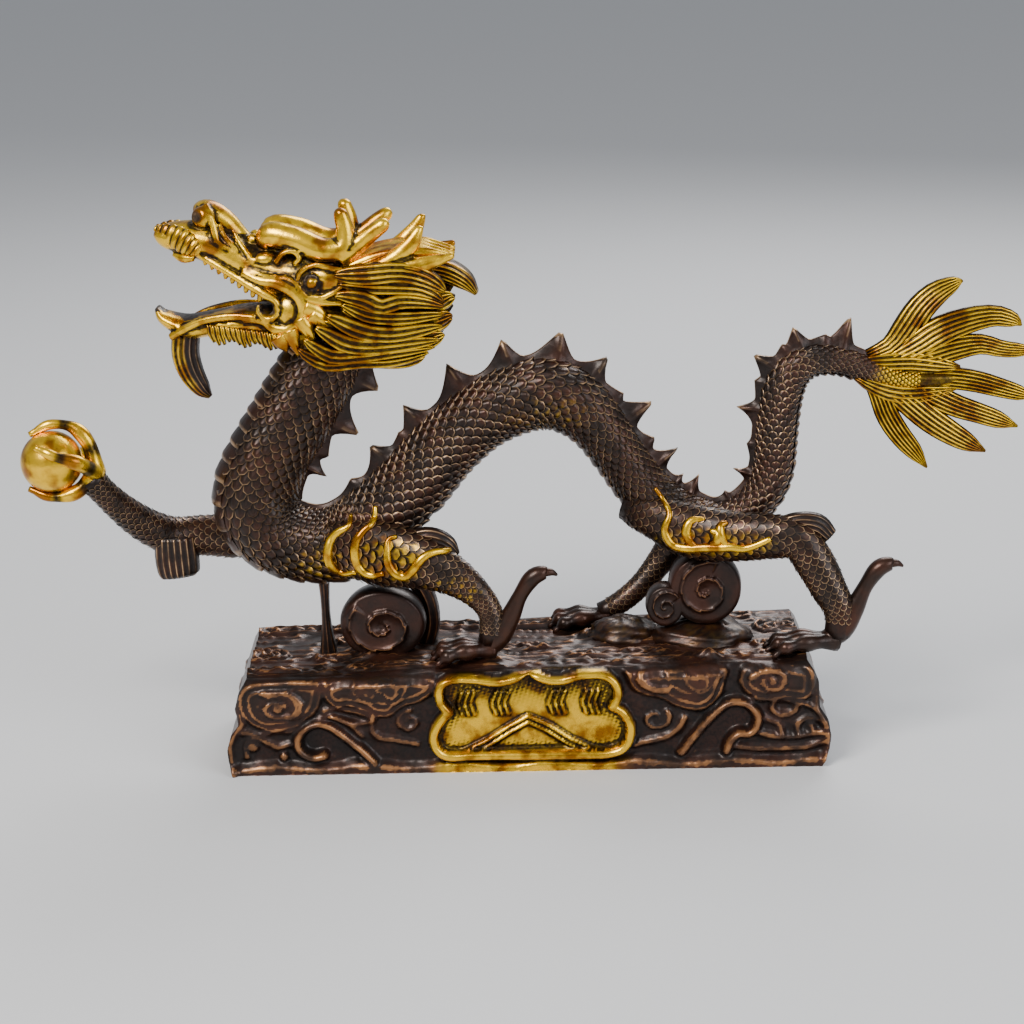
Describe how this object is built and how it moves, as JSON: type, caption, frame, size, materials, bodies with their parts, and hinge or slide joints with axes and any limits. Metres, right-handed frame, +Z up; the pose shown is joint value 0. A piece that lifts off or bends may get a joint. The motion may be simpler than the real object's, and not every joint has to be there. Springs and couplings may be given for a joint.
{
  "type": "dragon sculpture",
  "caption": "Chinese dragon ornament: a striding, scaled dragon with mane, fan tail and a pearl in its raised claw, cast with a cloud-carved plinth and cartouche.",
  "frame": {"origin": "centre of the plinth's flat underside", "axes": "+Z up; +X towards the tail, so the dragon faces -X; -Y towards the side with the cartouche"},
  "size_m": [0.3311, 0.0619, 0.1858],
  "materials": {
    "dragon_bronze": "dark brown patina rubbed back to bronze on the edges of the scales, gold on the head, mane, tail fan, claws and pearl",
    "plinth_bronze": "dark brown patina rubbed back on the cloud carving, gold on the cartouche"
  },
  "bodies": {
    "root": {"dragon": "dragon_bronze", "plinth": "plinth_bronze"}
  },
  "joints": []
}
